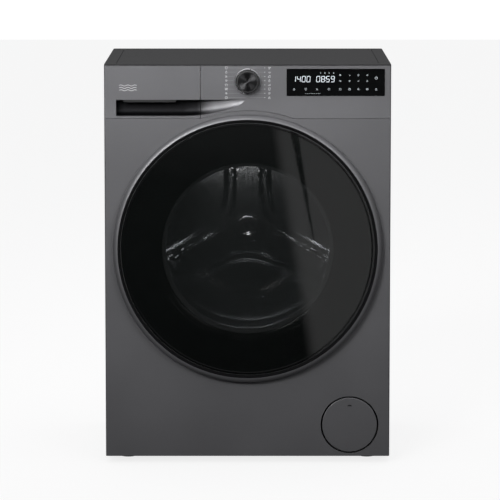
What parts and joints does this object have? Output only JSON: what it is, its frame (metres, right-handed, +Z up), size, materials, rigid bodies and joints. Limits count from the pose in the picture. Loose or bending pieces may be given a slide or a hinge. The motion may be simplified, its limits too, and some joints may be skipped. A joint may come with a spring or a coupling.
{
  "type": "front load washing machine",
  "caption": "Front-loading washing machine with a domed dark glass door, a suspended drum, a pull-out detergent drawer, a programme knob, a glass display and a round filter cover.",
  "frame": {"origin": "on the floor, under the middle of the machine's bounding box", "axes": "+Z up, +X to the right of someone who faces the machine, -Y towards them"},
  "size_m": [0.6, 0.55, 0.845],
  "materials": {
    "graphite_paint": "fine metallic graphite paint, satin",
    "graphite_plastic": "moulded plastic painted in the same metallic graphite, satin",
    "worktop_grey": "dark grey, lightly grained and matt",
    "black_gloss": "piano black",
    "smoked_cover": "smoked, high gloss, domed",
    "clear_glass": "clear pressed glass",
    "black_matte": "moulded, matt",
    "chrome": "bright ring",
    "stainless_steel": "stainless, brushed",
    "zinc_steel": "zinc plated",
    "cast_aluminium": "as cast",
    "tub_plastic": "filled polypropylene",
    "white_plastic": "light grey moulding",
    "grey_rubber": "matt elastomer",
    "concrete": "cast concrete"
  },
  "bodies": {
    "cabinet": {"side_panel_left": "graphite_paint", "side_panel_right": "graphite_paint", "rear_panel": "graphite_paint", "rear_cover": "graphite_paint", "base_tray": "black_matte", "front_panel": "graphite_paint", "worktop_frame": "worktop_grey", "worktop_board": "worktop_grey", "control_fascia": "graphite_plastic", "display_glass": "black_gloss", "dispenser_housing": "white_plastic", "inlet_valve": "white_plastic", "control_module": "white_plastic", "mains_gland": "black_matte", "drain_outlet": "black_matte", "door_lock": "black_matte", "hinge_bracket": "zinc_steel", "pump_housing": "white_plastic", "damper_cylinder_left": "black_matte", "damper_cylinder_right": "black_matte", "gasket": "grey_rubber", "spring_left": "zinc_steel", "spring_right": "zinc_steel"},
    "door": {"door_ring": "graphite_paint", "door_cover": "smoked_cover", "door_frame": "black_gloss", "door_bowl": "clear_glass", "hinge_leaf": "zinc_steel"},
    "hook": {"door_hook": "zinc_steel"},
    "drawer": {"drawer_front": "graphite_plastic", "drawer_tray": "white_plastic", "siphon_insert": "black_matte"},
    "knob": {"program_knob": "black_matte", "knob_cap": "stainless_steel", "knob_trim_ring": "chrome"},
    "filter_door": {"filter_cover": "graphite_paint"},
    "filter_plug": {"filter_cap": "black_matte"},
    "impeller": {"pump_impeller": "black_matte"},
    "tub": {"tub_front": "tub_plastic", "tub_rear": "tub_plastic", "counterweight_top": "concrete", "counterweight_front": "concrete", "heater": "zinc_steel", "motor": "cast_aluminium", "bearing_front": "stainless_steel", "bearing_rear": "stainless_steel", "damper_rod_left": "zinc_steel", "damper_rod_right": "zinc_steel", "drive_belt": "grey_rubber"},
    "drum": {"drum_shell": "stainless_steel", "lifter_1": "white_plastic", "lifter_2": "white_plastic", "lifter_3": "white_plastic", "drum_spider": "cast_aluminium", "drum_pulley": "cast_aluminium"},
    "rotor": {"motor_pulley": "zinc_steel"},
    "front_left_foot": {"foot_front_left": "black_matte"},
    "front_right_foot": {"foot_front_right": "black_matte"},
    "rear_left_foot": {"foot_rear_left": "black_matte"},
    "rear_right_foot": {"foot_rear_right": "black_matte"}
  },
  "joints": [
    {"name": "door_hinge", "type": "hinge", "parent": "cabinet", "child": "door", "pos_m": [-0.2715, -0.252, 0.458], "axis": [0, 0, -1], "range_deg": [0, 150]},
    {"name": "hook_pivot", "type": "hinge", "parent": "door", "child": "hook", "pos_m": [0.236, -0.239, 0.458], "axis": [-1, 0, 0], "range_deg": [0, 6], "stiffness_Nm_per_rad": 0.5, "springref_deg": -5.73},
    {"name": "drawer_slide", "type": "slide", "parent": "cabinet", "child": "drawer", "axis": [0, -1, 0], "range_m": [0, 0.2]},
    {"name": "knob_turn", "type": "hinge", "parent": "cabinet", "child": "knob", "pos_m": [0, -0.239, 0.809], "axis": [0, -1, 0], "continuous": true},
    {"name": "filter_cover_hinge", "type": "hinge", "parent": "cabinet", "child": "filter_door", "pos_m": [0.2156, -0.2373, 0.0283], "axis": [1, 0, 0], "range_deg": [0, 95]},
    {"name": "filter_cap_turn", "type": "hinge", "parent": "cabinet", "child": "filter_plug", "pos_m": [0.2156, -0.239, 0.0813], "axis": [0, -1, 0], "range_deg": [0, 120]},
    {"name": "impeller_spin", "type": "hinge", "parent": "cabinet", "child": "impeller", "pos_m": [0.2156, -0.15, 0.0813], "axis": [0, -1, 0], "continuous": true},
    {"name": "tub_bounce", "type": "slide", "parent": "cabinet", "child": "tub", "axis": [0, 0, 1], "range_m": [-0.01, 0.01], "stiffness_N_per_m": 11000, "springref_m": 0.0191, "deforming": ["spring_left", "spring_right", "gasket"]},
    {"name": "drum_spin", "type": "hinge", "parent": "tub", "child": "drum", "pos_m": [0, 0, 0.458], "axis": [0, -1, 0], "continuous": true},
    {"name": "motor_spin", "type": "hinge", "parent": "tub", "child": "rotor", "pos_m": [0, 0.2, 0.118], "axis": [0, -1, 0], "continuous": true},
    {"name": "front_left_foot_turn", "type": "hinge", "parent": "cabinet", "child": "front_left_foot", "pos_m": [-0.255, -0.154, 0], "axis": [0, 0, 1], "continuous": true},
    {"name": "front_right_foot_turn", "type": "hinge", "parent": "cabinet", "child": "front_right_foot", "pos_m": [0.255, -0.154, 0], "axis": [0, 0, 1], "continuous": true},
    {"name": "rear_left_foot_turn", "type": "hinge", "parent": "cabinet", "child": "rear_left_foot", "pos_m": [-0.255, 0.201, 0], "axis": [0, 0, 1], "continuous": true},
    {"name": "rear_right_foot_turn", "type": "hinge", "parent": "cabinet", "child": "rear_right_foot", "pos_m": [0.255, 0.201, 0], "axis": [0, 0, 1], "continuous": true}
  ],
  "couplings": [
    {"joint": "motor_spin", "follows": "drum_spin", "ratio": 11}
  ]
}
